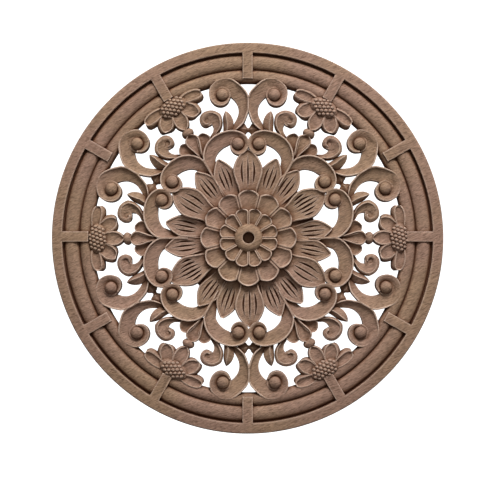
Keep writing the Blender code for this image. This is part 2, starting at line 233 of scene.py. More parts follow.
@dataclass(frozen=True)
class Rim:
    """The turned rim with its grooves, and the twelve straps across it."""

    radius: float = 200.0
    inner_radius: float = 159.0
    inner_height: float = 8.6
    bead_centre: Plan = (165.6, 8.4)
    bead_halves: Plan = (6.6, 4.9)
    bead_angles: Plan = (168.0, 22.0)
    groove: tuple[Plan, ...] = ((172.2, 9.3), (172.9, 9.3))
    ovolo_centre: Plan = (180.2, 9.2)
    ovolo_halves: Plan = (7.8, 4.5)
    ovolo_angles: Plan = (168.0, 14.0)
    quirk: tuple[Plan, ...] = ((188.3, 9.4), (189.0, 9.7))
    band_edge: float = 189.6
    band_break: Plan = (0.3, 0.5)
    band_height: float = 15.0
    arris: float = 1.6
    arris_steps: int = 4
    moulding_steps: int = 11
    steps: int = 240
    strap_pitch: int = 30
    strap_width: float = 10.6
    strap_height: float = 14.95
    strap_ends: Plan = (162.6, 192.0)
    strap_bevel: float = 0.55

    def profile(self) -> list[Plan]:
        """Draws the section from the inner foot over the bead, the ovolo and the flat band to the outer foot.

        Returns:
            Points as (radius, height).
        """
        edge = self.radius - self.arris
        across, drop = self.band_break
        return [
            (self.inner_radius, 0.0),
            (self.inner_radius, self.inner_height),
            *arc(self.bead_centre, self.bead_halves, *self.bead_angles, self.moulding_steps),
            *self.groove,
            *arc(self.ovolo_centre, self.ovolo_halves, *self.ovolo_angles, self.moulding_steps),
            *self.quirk,
            (self.band_edge - across, self.band_height - drop),
            (self.band_edge + across, self.band_height),
            *arc((edge, self.band_height - self.arris), (self.arris, self.arris), 90, 0, self.arris_steps),
            (self.radius, 0.0),
        ]

    def strap(self) -> Body:
        """Makes one strap lying across the rim, a bar with its upper edges broken.

        Returns:
            The strap, drawn along the Y axis.
        """
        start, end = self.strap_ends
        bm = bmesh.new()
        bmesh.ops.create_cube(bm, size=1)
        bmesh.ops.scale(bm, verts=bm.verts, vec=(self.strap_width, end - start, self.strap_height))
        bmesh.ops.translate(bm, verts=bm.verts, vec=(0, (start + end) / 2, self.strap_height / 2))
        upper = [edge for edge in bm.edges if all(v.co.z > self.strap_height / 2 for v in edge.verts)]
        bmesh.ops.bevel(
            bm, geom=upper, offset=self.strap_bevel, affect="EDGES", segments=3, profile=0.5, material=-1
        )
        return bm

    def families(self) -> list[Family]:
        """Makes the rim and its straps.

        Returns:
            A family of each.
        """
        rim, straps = Family("rim"), Family("straps")
        rim.add(turn_profile(self.profile(), self.steps, closed=True))
        for degrees in range(0, FULL_TURN, self.strap_pitch):
            straps.add(self.strap(), degrees)
        return [rim, straps]


@dataclass(frozen=True)
class Scroll:
    """A ribbon that swells along its tail and curls round a hub.

    The tail's stations are (outer edge x, y, inner edge x, y, ridge height), and the volute's are (angle round the
    hub in degrees, radius of the outer edge, ridge height). Across it, the arris lies below the flank in shares of
    the lip, the crest runs over the lip and down the step in shares of the two, and the slopes fall to the inner
    edge as (share of the way, share of the hollow).
    """

    tail: tuple[Row, ...]
    hub: Plan
    hub_radius: float
    volute: tuple[Row, ...]
    tail_hollow: float = 4.6
    volute_hollow: float = 3.7
    inner_drop: float = 0.3
    lip: float = 1.6
    widest_lip: float = 0.28
    step: float = 1.1
    step_loss: float = 0.7
    flank: Plan = (0.0, 0.0)
    arris: tuple[Plan, ...] = ((0.0, 0.4), (0.08, 0.12))
    crest: tuple[Plan, ...] = ((0.28, 0.0), (0.7, 0.0), (0.92, 0.2), (1.1, 1.0))
    tail_slope: tuple[Plan, ...] = ((0.1, 0.5), (0.3, 0.76), (0.6, 0.92), (0.96, 1.0))
    volute_slope: tuple[Plan, ...] = ((0.12, 0.1), (0.36, 0.22), (0.6, 0.75), (0.96, 1.0))
    rounding: float = 0.3
    steps: int = 3

    def stations(self) -> list[Row]:
        """Runs the tail into the volute.

        Returns:
            One smooth run of (outer x, y, inner x, y, height, hollow, roundness).
        """
        rows = [(*row, self.tail_hollow, 0.0) for row in self.tail]
        centre = Vector(self.hub)
        for i, (degrees, radius, height) in enumerate(self.volute):
            out = Vector((math.cos(math.radians(degrees)), math.sin(math.radians(degrees))))
            edges = (*(centre + radius * out), *(centre + self.hub_radius * out))
            rows.append((*edges, height, self.volute_hollow, min(1.0, self.rounding * i)))
        return smooth(rows, self.steps)

    def section(self, station: Row) -> Section:
        """Draws the outline across the ribbon: a lip, a step down, and a slope to the inner edge.

        A flank (width, drop) slopes from the outer edge up to the lip. The slope is hollow in the tail and round in
        the volute, where it falls only beside the bead.

        Args:
            station: One row of the smooth run.

        Returns:
            The closed outline.
        """
        outer, inner = Vector(station[:2]), Vector(station[2:4])
        height, hollow, roundness = station[4:]
        width = (inner - outer).length
        lip = min(self.lip, self.widest_lip * width)
        step = self.step * lip / self.lip * (1 - self.step_loss * roundness)
        flank = self.flank[0] * lip / self.lip
        edge = [(across * lip, -drop * lip - self.flank[1]) for across, drop in self.arris]
        edge += [(flank + across * lip, -drop * step) for across, drop in self.crest]
        slope = [
            (share, dip + roundness * (full - dip))
            for (share, dip), (_, full) in zip(self.tail_slope, self.volute_slope)
        ]
        start = edge[-1][0]
        upper = [*edge, *((start + share * (width - start), -dip * hollow) for share, dip in slope)]
        upper.append((width, -hollow - self.inner_drop))
        points = [(0.0, -height), *upper, (width, -height)]
        along = (inner - outer) / width
        return [Vector((*(outer + along * across), height + lift)) for across, lift in points]

    def body(self) -> Body:
        """The whole scroll."""
        return loft([self.section(station) for station in self.stations()])


@dataclass(frozen=True)
class Petal:
    """A spoon-shaped petal with a lip round its hollow.

    Its stations are (left edge x, y, right edge x, y, height of its edges). Its side is drawn as (share of the
    flare, share of the shoulder), and its hollow at some shares of the way to the lip.
    """

    stations: tuple[Row, ...]
    hollow: float
    flare: float = 0.8
    shoulder: float = 1.2
    rib: float = 0.0
    foot: float = 0.0
    rib_width: float = 0.2
    lip: float = 1.1
    widest_lip: float = 0.35
    step: float = 0.8
    steepest_step: float = 0.3
    tip_lip: float = 1.8
    side: tuple[Plan, ...] = ((1.0, 1.0), (0.6, 0.45))
    arris: Plan = (0.1, 0.12)
    lip_crest: float = 0.3
    lip_brink: Plan = (0.75, 0.1)
    bowl_shares: tuple[float, ...] = (1.0, 0.78, 0.52, 0.26)
    steps: int = 3

    def dip(self, share: float, wide: float, fade: float) -> float:
        """How far the petal lies under its lip.

        Args:
            share: The place across it, from 0 in the middle to 1 at the edge.
            wide: Half the petal's width there.
            fade: The share of the hollow's depth that is reached, which falls to 0 at the tip.

        Returns:
            The depth.
        """
        inner = 1 - min(self.lip / wide, self.widest_lip)
        step = min(self.step, self.steepest_step * wide) * fade
        bowl = max(self.hollow * fade - step, 0) * (1 - min(1.0, share / inner) ** 2)
        return step + bowl - self.rib * fade * math.exp(-((share / self.rib_width) ** 2))

    def section(self, station: Row, to_tip: float) -> Section:
        """Draws the outline across the petal.

        Args:
            station: One row of the smooth run.
            to_tip: How far it lies from the petal's tip.

        Returns:
            The closed outline.
        """
        left, right = Vector(station[:2]), Vector(station[2:4])
        height = station[4]
        middle, half = (left + right) / 2, (right - left) / 2
        wide = half.length
        lip = min(self.lip / wide, self.widest_lip)
        fade = min(1.0, to_tip / self.tip_lip)
        reach = self.flare / wide
        arris_share, arris_drop = self.arris
        brink_share, brink_drop = self.lip_brink
        side = [(1 + reach, self.foot)]
        side += [(1 + across * reach, height - drop * self.shoulder) for across, drop in self.side]
        side.append((1 + arris_share * reach, height - arris_drop * min(1.0, wide)))
        side.append((1 - self.lip_crest * lip, height))
        side.append((1 - brink_share * lip, height - brink_drop * self.dip(1.0, wide, fade)))
        for share in self.bowl_shares:
            side.append((share * (1 - lip), height - self.dip(share * (1 - lip), wide, fade)))
        points = [(-across, up) for across, up in side] + [(0.0, height - self.dip(0, wide, fade))] + side[::-1]
        return [Vector((*(middle + half * across), up)) for across, up in points]

    def body(self) -> Body:
        """Lofts the whole petal.

        Returns:
            The petal.
        """
        rows = smooth(self.stations, self.steps)
        middles = [(Vector(row[:2]) + Vector(row[2:4])) / 2 for row in rows]
        return loft([self.section(row, (middle - middles[-1]).length) for row, middle in zip(rows, middles)])


@dataclass(frozen=True)
class Leaf:
    """A crowned leaf with a sharp crest along it, from the same kind of stations as a petal's.

    Its two sides are drawn as (share of the half width, share of the crown).
    """

    stations: tuple[Row, ...]
    crown: float = 4.0
    crest: float = -0.2
    full_width: float = 4.4
    left_side: tuple[Plan, ...] = ((-1.0, 0.0), (-0.9, 0.2), (-0.6, 0.42))
    right_side: tuple[Plan, ...] = ((0.3, 0.44), (0.9, 0.12), (1.0, 0.0))
    steps: int = 4

    def section(self, station: Row) -> Section:
        """Draws the outline across the leaf.

        Args:
            station: One row of the smooth run.

        Returns:
            The closed outline.
        """
        left, right = Vector(station[:2]), Vector(station[2:4])
        middle, half = (left + right) / 2, (right - left) / 2
        crown = self.crown * min(1.0, half.length / self.full_width)
        shape = (*self.left_side, (self.crest, 1.0), *self.right_side)
        top = [(across, station[4] + crown * lift) for across, lift in shape]
        points = [(-1, 0.0), *top, (1, 0.0)]
        return [Vector((*(middle + half * across), up)) for across, up in points]

    def body(self) -> Body:
        """The whole leaf."""
        return loft([self.section(row) for row in smooth(self.stations, self.steps)])


def upright(rows: Iterable[Row]) -> tuple[Row, ...]:
    """Stations of a petal that points straight out, from (distance out, half width, height)."""
    return tuple((-half, out, half, out, height) for out, half, height in rows)


@dataclass(frozen=True)
class Scrollwork:
    """The scrolls, beads, palmettes, leaves and buds between the middle flower and the rim."""

    outer: Scroll = Scroll(
        tail=(
            (39.0, 101.5, 34.0, 106.0, 11.0),
            (47.0, 102.4, 42.0, 107.4, 12.2),
            (55.0, 104.5, 48.5, 110.6, 13.0),
            (61.0, 108.8, 54.0, 114.6, 13.6),
            (66.6, 114.3, 57.2, 119.0, 14.0),
            (71.3, 122.0, 58.9, 124.5, 14.2),
            (73.7, 129.2, 58.7, 129.6, 14.2),
            (73.1, 134.8, 57.4, 134.0, 14.2),
        ),
        hub=(50.5, 140.7),
        hub_radius=4.0,
        volute=(
            (2, 20.8, 14.0),
            (30, 19.2, 13.6),
            (60, 17.2, 13.4),
            (90, 15.4, 13.4),
            (120, 14.8, 13.6),
            (150, 13.8, 14.0),
            (180, 13.2, 14.2),
            (210, 12.7, 14.2),
            (240, 11.7, 14.0),
            (270, 10.2, 13.6),
            (302, 8.8, 13.0),
        ),
    )
    inner: Scroll = Scroll(
        tail=(
            (-0.5, 62.0, 2.5, 62.0, 11.4),
            (-0.5, 74.0, 6.0, 74.5, 12.2),
            (-0.5, 86.0, 10.0, 84.0, 13.0),
            (0.4, 93.4, 11.2, 87.0, 13.4),
            (4.5, 99.4, 13.6, 89.4, 13.8),
            (10.0, 104.0, 16.8, 91.2, 14.0),
            (17.0, 107.0, 20.4, 92.4, 14.2),
            (25.0, 108.1, 25.2, 93.1, 14.2),
            (33.0, 107.1, 30.6, 92.8, 14.2),
        ),
        hub=(39.0, 89.0),
        hub_radius=4.0,
        volute=(
            (84, 15.3, 14.2),
            (58, 13.1, 14.2),
            (30, 12.2, 14.2),
            (0, 11.7, 14.2),
            (-30, 11.4, 14.2),
            (-60, 11.3, 14.2),
            (-90, 11.6, 14.0),
            (-118, 11.4, 13.8),
            (-146, 10.3, 13.6),
            (-172, 9.2, 13.4),
            (-196, 8.4, 13.0),
        ),
    )
    hook: Scroll = Scroll(
        tail=(
            (22.0, 102.5, 14.5, 105.0, 11.0),
            (28.0, 108.6, 18.6, 109.9, 12.2),
            (33.4, 112.2, 22.8, 112.3, 13.0),
            (37.2, 117.2, 25.4, 115.6, 13.6),
            (38.9, 123.0, 26.0, 118.8, 13.8),
        ),
        hub=(24.0, 125.0),
        hub_radius=2.0,
        volute=(
            (4, 14.3, 13.8),
            (25, 12.6, 13.8),
            (45, 11.2, 13.8),
            (67, 10.1, 13.6),
            (90, 9.5, 13.6),
            (115, 9.0, 13.4),
            (140, 8.5, 13.2),
            (165, 8.0, 13.0),
            (190, 7.6, 13.0),
            (217, 7.0, 12.8),
            (245, 5.9, 12.6),
            (274, 4.4, 12.2),
        ),
        tail_hollow=3.6,
        volute_hollow=2.4,
        lip=1.2,
        flank=(2.4, 1.6),
    )
    palmette_middle: Petal = Petal(
        upright(
            (
                (94.0, 1.4, 12.4),
                (103.0, 3.8, 13.2),
                (110.0, 6.2, 13.6),
                (115.0, 6.8, 13.6),
                (118.8, 5.2, 13.4),
                (121.4, 1.2, 13.0),
            )
        ),
        hollow=3.2,
        lip=0.8,
    )
    palmette_side: Petal = Petal(
        (
            (0.6, 97.0, 6.0, 96.0, 11.6),
            (2.0, 103.0, 12.0, 102.0, 12.0),
            (3.5, 109.0, 17.6, 107.6, 12.4),
            (5.0, 113.4, 17.4, 111.4, 12.6),
            (7.8, 116.0, 15.4, 114.6, 12.4),
            (10.6, 117.0, 13.0, 116.6, 12.2),
        ),
        hollow=3.2,
        flare=0.3,
        lip=0.8,
    )
    leaf: Leaf = Leaf(
        (
            (31.0, 105.0, 43.0, 106.0, 8.8),
            (34.5, 111.0, 46.6, 110.8, 9.6),
            (37.0, 116.2, 47.6, 115.2, 10.2),
            (39.4, 120.2, 47.6, 118.8, 10.4),
            (42.4, 123.2, 46.8, 122.0, 10.2),
            (44.9, 124.9, 45.4, 124.6, 9.8),
        )
    )
    bead_radius: float = 6.5
    bead_top: float = 16.6
    bead_base: float = 11.0
    outer_floor: float = 8.8
    inner_floor: float = 8.0
    floor_bevel: Plan = (0.5, 0.6)
    hook_floor: Plan = (5.4, 10.9)
    axis_bead: Plan = (0.0, 124.3)
    axis_bead_halves: Plan = (6.4, 4.7)
    axis_bead_top: float = 14.6
    link_bud: Leaf = Leaf(
        (
            (-0.3, 113.2, -0.3, 110.0, 6.0),
            (1.4, 114.4, 1.4, 109.2, 6.4),
            (3.0, 117.2, 3.0, 107.2, 6.8),
            (5.4, 118.6, 5.4, 106.4, 7.2),
            (8.6, 117.4, 8.6, 107.0, 7.4),
            (12.0, 114.8, 12.0, 108.6, 7.4),
        ),
        crown=2.2,
        crest=0.0,
        full_width=4.0,
    )
    bead_steps: int = 28
    bead_rings: int = 7
    knob_steps: int = 24
    knob_rings: int = 6

    def bead(self, hub: Plan, floor: float) -> Body:
        """Turns a ball in the eye of a scroll, with the floor of the hollow that runs round it.

        Args:
            hub: The middle of the eye.
            floor: The radius of the floor.

        Returns:
            The ball and its floor.
        """
        halves = (self.bead_radius, self.bead_top - self.bead_base)
        ball = arc((0.0, self.bead_base), halves, 0, 90, self.bead_rings)
        across, drop = self.floor_bevel
        foot = [(0.0, 0.0), (floor, 0.0), (floor, self.bead_base - drop), (floor - across, self.bead_base)]
        return turn_profile([*foot, *ball], self.bead_steps, closed=False, centre=hub)

    def knob(self, centre: Plan, halves: Plan, top: float) -> Body:
        """Turns an oval knob that stands on the back plane.

        Args:
            centre: Its middle.
            halves: Half its two widths.
            top: Its height.

        Returns:
            The knob.
        """
        base = top - min(halves)
        ball = arc((0, base), (1, top - base), 0, 90, self.knob_rings)
        bm = turn_profile([(0.0, 0.0), (1.0, 0.0), *ball], self.knob_steps, closed=False)
        bmesh.ops.scale(bm, verts=bm.verts, vec=(*halves, 1))
        bmesh.ops.translate(bm, verts=bm.verts, vec=(*centre, 0))
        return bm

    def families(self) -> list[Family]:
        """Makes every form of the scrollwork.

        Returns:
            The forms, parted so that no two bodies of a family meet.
        """
        families = []
        for name, scroll in (("outer", self.outer), ("inner", self.inner)):
            body = scroll.body()
            for hand in Hand:
                family = Family(f"{name}_scrolls_{hand.name.lower()}")
                family.add_round(body, hand)
                families.append(family)
        floor, level = self.hook_floor
        eye = [(0, 0), (floor, 0), (floor, level), (0, level)]
        hook_eye = turn_profile(eye, self.knob_steps, closed=False, centre=self.hook.hub)
        paired = {
            "hooks": self.hook.body(),
            "hook_eyes": hook_eye,
            "outer_beads": self.bead(self.outer.hub, self.outer_floor),
            "inner_beads": self.bead(self.inner.hub, self.inner_floor),
            "palmette_sides": self.palmette_side.body(),
            "scroll_leaves": self.leaf.body(),
        }
        for name, body in paired.items():
            family = Family(name)
            family.add_both_hands(body)
            families.append(family)
        single = {
            "axis_beads": self.knob(self.axis_bead, self.axis_bead_halves, self.axis_bead_top),
            "palmette_middles": self.palmette_middle.body(),
        }
        for name, body in single.items():
            family = Family(name)
            family.add_round(body)
            families.append(family)
        for hand in Hand:
            family = Family(f"link_buds_{hand.name.lower()}")
            for degrees in SECTOR_EDGES:
                family.add(self.link_bud.body(), degrees, hand)
            families.append(family)
        return families


@dataclass(frozen=True)
class Sunflowers:
    """The six half sunflowers against the rim: a knobbed core over five petals."""

    low: Petal = Petal(
        upright(
            (
                (150.0, 4.8, 13.6),
                (143.4, 6.2, 14.2),
                (138.8, 7.0, 14.2),
                (133.6, 6.0, 13.8),
                (130.0, 3.7, 13.6),
                (127.8, 0.9, 13.2),
            )
        ),
        hollow=2.2,
        flare=1.2,
        shoulder=2.4,
    )
    slanted: Petal = Petal(
        (
            (4.6, 149.6, 16.0, 151.0, 13.6),
            (6.4, 143.4, 20.3, 146.2, 14.0),
            (9.0, 138.6, 21.6, 141.2, 14.0),
            (12.8, 135.6, 21.4, 137.8, 13.8),
            (16.8, 134.9, 20.2, 135.8, 13.4),
        ),
        hollow=2.2,
        flare=3.0,
        shoulder=3.6,
    )
    level: Petal = Petal(
        (
            (12.0, 152.8, 12.0, 160.0, 13.4),
            (19.0, 151.0, 18.6, 160.8, 13.8),
            (25.6, 149.9, 25.2, 160.2, 13.8),
            (30.6, 150.4, 30.2, 158.4, 13.6),
            (33.2, 152.8, 33.0, 156.0, 13.2),
        ),
        hollow=2.2,
        flare=3.0,
        shoulder=3.6,
    )
    centre: Plan = (0.0, 154.6)
    halves: Plan = (15.8, 9.8)
    base: float = 10.6
    top: float = 16.6
    core_steps: int = 36
    core_rings: int = 9
    knob_pitch: Plan = (4.2, 3.5)
    knob_halves: Triple = (2.2, 1.8, 1.2)
    knob_facets: tuple[int, int] = (8, 6)
    knob_reach: float = 0.9
    rows_each_way: int = 6
    row_slants: tuple[float, ...] = (-20.0, -3.0, -8.0, -22.0, 0.0, -18.0)

    def core(self) -> Body:
        """Turns the dome under the knobs.

        Returns:
            The dome, in its place beside the sector's axis.
        """
        dome = arc((0.0, self.base), (1.0, self.top - self.base), 0, 90, self.core_rings)
        bm = turn_profile([(0.0, 0.0), (1.0, 0.0), *dome], self.core_steps, closed=False)
        bmesh.ops.scale(bm, verts=bm.verts, vec=(*self.halves, 1))
        bmesh.ops.translate(bm, verts=bm.verts, vec=(*self.centre, 0))
        return bm

    def knob(self, across: float, out: float, slant: float) -> Body:
        """Makes one pillow-shaped knob that stands square on the dome.

        Args:
            across: Its place to the right of the dome's middle.
            out: Its place outwards from there.
            slant: The turn of its long side, in radians.

        Returns:
            The knob.
        """
        share = math.hypot(across / self.halves[0], out / self.halves[1])
        rise = (self.top - self.base) * math.sqrt(1 - share**2)
        squash = ((self.top - self.base) / self.halves[0]) ** 2, ((self.top - self.base) / self.halves[1]) ** 2
        normal = Vector((across * squash[0], out * squash[1], rise))
        bm = bmesh.new()
        around, upwards = self.knob_facets
        bmesh.ops.create_uvsphere(bm, u_segments=around, v_segments=upwards, radius=1)
        bmesh.ops.scale(bm, verts=bm.verts, vec=self.knob_halves)
        bmesh.ops.rotate(bm, verts=bm.verts, matrix=Matrix.Rotation(slant, 3, "Z"))
        lean = Vector((0, 0, 1)).rotation_difference(normal).to_matrix()
        bmesh.ops.rotate(bm, verts=bm.verts, matrix=lean)
        place = (self.centre[0] + across, self.centre[1] + out, self.base + rise)
        bmesh.ops.translate(bm, verts=bm.verts, vec=place)
        return bm

    def knobs(self, degrees: float, row_slant: float) -> list[Body]:
        """The knobs of one core, in crossing rows that keep their own slant to the level.

        Args:
            degrees: The angle of the sunflower's axis.
            row_slant: The slant of the rows to the level, in degrees.

        Returns:
            The knobs, drawn beside the sector's axis.
        """
        slant = math.radians(row_slant - (degrees - 90))
        along, up = Vector((math.cos(slant), math.sin(slant))), Vector((-math.sin(slant), math.cos(slant)))
        made = []
        rows = range(-self.rows_each_way, self.rows_each_way + 1)
        for row in rows:
            for column in rows:
                shift = 0.5 * (row % 2)
                place = along * (column + shift) * self.knob_pitch[0] + up * row * self.knob_pitch[1]
                if math.hypot(place.x / self.halves[0], place.y / self.halves[1]) < self.knob_reach:
                    made.append(self.knob(place.x, place.y, slant))
        return made

    def families(self) -> list[Family]:
        """Makes the petals, the domes and their knobs.

        Returns:
            The forms, of which only the knobs of a core overlap.
        """
        low, slanted, level = Family("sun_low"), Family("sun_slanted"), Family("sun_level")
        low.add_round(self.low.body())
        slanted.add_both_hands(self.slanted.body())
        level.add_both_hands(self.level.body())
        cores, knobs = Family("sun_cores"), Family("sun_knobs")
        cores.add_round(self.core())
        for degrees, row_slant in zip(SECTORS, self.row_slants):
            for knob in self.knobs(degrees, row_slant):
                knobs.add(knob, degrees)
        return [low, slanted, level, cores, knobs]


@dataclass(frozen=True)
class Veins:
    """The grooves carved along a petal.

    A vein's place is (share of the petal's half width, start, end), so it bends as the petal's edge does. It is
    widest a little before its middle, which swell_lead sets.
    """

    places: tuple[Triple, ...]
    depth: float
    half_width: float = 1.2
    least_swell: float = 0.06
    swell_lead: float = 0.8
    rise: float = 1.0
    steps: int = 8

    def bodies(self, petal: Petal) -> list[Body]:
        """Lofts the cutters for one petal's veins, which stand a little above it.

        Args:
            petal: The petal, which points straight out.

        Returns:
            The cutters, drawn beside the petal's axis.
        """
        rows = np.array(smooth(petal.stations, petal.steps))
        outs, halves, heights = rows[:, 1], rows[:, 2], rows[:, 4]
        made = []
        for share, start, end in self.places:
            sections = []
            for t in np.linspace(0, 1, self.steps + 1):
                out = start + (end - start) * t
                swell = max(self.least_swell, math.sin(math.pi * t**self.swell_lead))
                across = share * np.interp(out, outs, halves)
                half, height = np.interp(out, outs, halves), np.interp(out, outs, heights)
                surface = height - petal.dip(abs(share), half, 1.0)
                wide = self.half_width * swell * (1 + self.rise / self.depth)
                low = surface - self.depth * swell
                high = surface + self.rise
                sections.append([Vector((across + dx, out, up)) for dx, up in ((-wide, high), (0, low), (wide, high))])
            made.append(loft(sections))
        return made


@dataclass(frozen=True)
class MiddleFlower:
    """The big flower: two layers of pointed petals, two rings of spoon petals, and the domed boss."""

    big: Petal = Petal(
        upright(
            (
                (40.0, 7.0, 12.2),
                (52.0, 9.6, 13.6),
                (59.0, 12.2, 14.4),
                (66.0, 14.2, 14.8),
                (72.0, 14.3, 14.8),
                (78.0, 12.3, 14.6),
                (83.5, 9.2, 14.2),
                (87.8, 5.1, 13.8),
                (90.8, 0.9, 13.4),
            )
        ),
        hollow=2.9,
        rib=0.5,
        lip=1.3,
        steps=4,
    )
    under: Petal = Petal(
        upright(
            (
                (40.0, 5.6, 9.6),
                (54.0, 8.0, 10.4),
                (62.0, 9.9, 11.2),
                (69.0, 10.6, 11.8),
                (75.0, 8.9, 12.0),
                (80.0, 6.0, 12.0),
                (84.0, 2.9, 11.8),
                (86.2, 0.8, 11.6),
            )
        ),
        hollow=1.9,
        rib=0.3,
    )
    middle_ring: Petal = Petal(
        upright(
            (
                (26.0, 6.5, 15.0),
                (36.0, 9.1, 16.4),
                (40.0, 10.0, 16.9),
                (42.6, 10.5, 17.2),
                (44.8, 9.3, 17.4),
                (46.8, 6.9, 17.4),
                (48.2, 4.2, 17.4),
                (48.9, 1.7, 17.3),
            )
        ),
        hollow=3.3,
        flare=1.0,
        shoulder=2.0,
        foot=8.0,
        lip=1.7,
    )
    inner_ring: Petal = Petal(
        upright(
            (
                (11.0, 2.5, 17.0),
                (18.0, 4.3, 17.9),
                (23.0, 5.6, 18.7),
                (25.4, 6.3, 19.0),
                (27.0, 5.9, 19.2),
                (28.4, 4.6, 19.2),
                (29.4, 2.9, 19.2),
                (29.9, 1.2, 19.1),
            )
        ),
        hollow=2.9,
        flare=1.0,
        shoulder=1.6,
        foot=10.0,
        lip=0.9,
        tip_lip=1.4,
    )
    big_tips: tuple[float, ...] = (30.5, 90.5, 148.5, 209.0, 271.0, 329.5)
    many_veined_tips: tuple[float, ...] = (30.5, 209.0)
    under_first_tips: tuple[float, ...] = (349.0, 53.5, 111.0, 169.3, 233.5, 292.5)
    under_second_tips: tuple[float, ...] = (6.5, 70.5, 128.5, 187.0, 251.5, 309.5)
    three_veins: Veins = Veins(((-0.45, 55.0, 82.0), (0.0, 52.0, 86.0), (0.45, 55.0, 82.0)), depth=2.3)
    six_veins: Veins = Veins(
        (
            (-0.7, 58.0, 74.0),
            (-0.42, 56.0, 80.0),
            (-0.14, 55.0, 85.0),
            (0.16, 56.0, 84.0),
            (0.44, 58.0, 79.0),
            (0.72, 60.0, 74.0),
        ),
        depth=2.5,
    )
    under_veins: Veins = Veins(((-0.45, 54.0, 78.0), (0.0, 52.0, 82.0), (0.45, 54.0, 78.0)), depth=2.2)
    hole_radius: float = 5.9
    hole_floor: float = 6.0
    hole_lip: float = 19.4
    hole_break: Plan = (0.25, 0.4)
    crown_start: float = 0.8
    crown: float = 20.0
    dome: tuple[Plan, ...] = (
        (8.0, 19.95),
        (9.6, 19.7),
        (11.2, 19.2),
        (12.6, 18.4),
        (13.8, 17.3),
        (14.6, 16.2),
        (15.2, 15.0),
    )
    disc: tuple[Plan, ...] = (
        (30.0, 13.4),
        (47.0, 10.0),
        (52.0, 8.4),
        (58.0, 6.6),
        (64.0, 4.6),
        (70.0, 3.6),
        (70.0, 0.0),
    )
    boss_steps: int = 96
    ring_pitch: int = 60

    def boss_profile(self) -> list[Plan]:
        """Draws the boss from the floor of its blind hole over the dome to the disc that carries the petals.

        Returns:
            Points as (radius, height).
        """
        across, rise = self.hole_break
        return [
            (0.0, self.hole_floor),
            (self.hole_radius, self.hole_floor),
            (self.hole_radius, self.hole_lip),
            (self.hole_radius + across, self.hole_lip + rise),
            (self.hole_radius + self.crown_start, self.crown),
            *self.dome,
            *self.disc,
            (0.0, 0.0),
        ]

    def tips(self) -> dict[str, tuple[float, ...]]:
        """The angles of the petals' tips, by the name of their family."""
        under = {"under_first": self.under_first_tips, "under_second": self.under_second_tips}
        return {"big_petals": self.big_tips, **under}

    def families(self) -> list[Family]:
        """Makes the boss, the rings and the two layers of petals.

        Returns:
            The forms, parted so that no two bodies of a family meet.
        """
        boss = Family("boss")
        boss.add(turn_profile(self.boss_profile(), self.boss_steps, closed=False))
        made = [boss]
        for name, tips in self.tips().items():
            petals = Family(name)
            petal = self.big if name == "big_petals" else self.under
            for tip in tips:
                petals.add(petal.body(), tip)
            made.append(petals)
        for name, petal, first in (("middle_ring", self.middle_ring, 0), ("inner_ring", self.inner_ring, 15)):
            for turn in (0, self.ring_pitch // 2):
                ring = Family(f"{name}_{turn}")
                for degrees in range(first + turn, FULL_TURN + first, self.ring_pitch):
                    ring.add(petal.body(), degrees)
                made.append(ring)
        return made

    def vein_cutters(self) -> dict[str, Family]:
        """Makes the cutters for each family of petals.

        Returns:
            A family of cutters by the name of the family they cut.
        """
        cutters = {}
        for name, tips in self.tips().items():
            cutters[name] = Family(f"{name}_veins")
            for tip in tips:
                petal, veins = self.under, self.under_veins
                if name == "big_petals":
                    petal, veins = self.big, self.six_veins if tip in self.many_veined_tips else self.three_veins
                for cutter in veins.bodies(petal):
                    cutters[name].add(cutter, tip)
        return cutters


@dataclass(frozen=True)
class Drift:
    """How far the carver's work inside the rim lies from its true place: the flower, and each sector's ornament.

    The ornament's shifts are for sectors at 0, 60, ... 300 degrees, and run smoothly from one into the next.
    """

    flower: Plan = (0.9, -1.4)
    sectors: tuple[Plan, ...] = ((0.3, -1.1), (0.9, -1.1), (0.5, -0.9), (1.2, -1.75), (1.65, -1.45), (1.0, -1.2))
    blend: Plan = (70.0, 105.0)

    def at(self, x: float, y: float) -> Vector:
        """Finds the shift at one place.

        Args:
            x: Its distance to the right of the rosette's middle.
            y: Its distance above the middle.

        Returns:
            The shift in the plan.
        """
        turn = math.degrees(math.atan2(y, x)) % FULL_TURN / SECTOR
        sector = int(turn)
        share = 0.5 - 0.5 * math.cos(math.pi * (turn - sector))
        here, following = (self.sectors[number % len(self.sectors)] for number in (sector, sector + 1))
        ornament = Vector(here).lerp(Vector(following), share)
        start, end = self.blend
        out = min(1.0, max(0.0, (math.hypot(x, y) - start) / (end - start)))
        return Vector(self.flower).lerp(ornament, out * out * (3 - 2 * out))

    def shift(self, family: Family) -> None:
        """Moves the corners of a family's bodies."""
        for corner in family.mesh.verts:
            corner.co.xy += self.at(corner.co.x, corner.co.y)


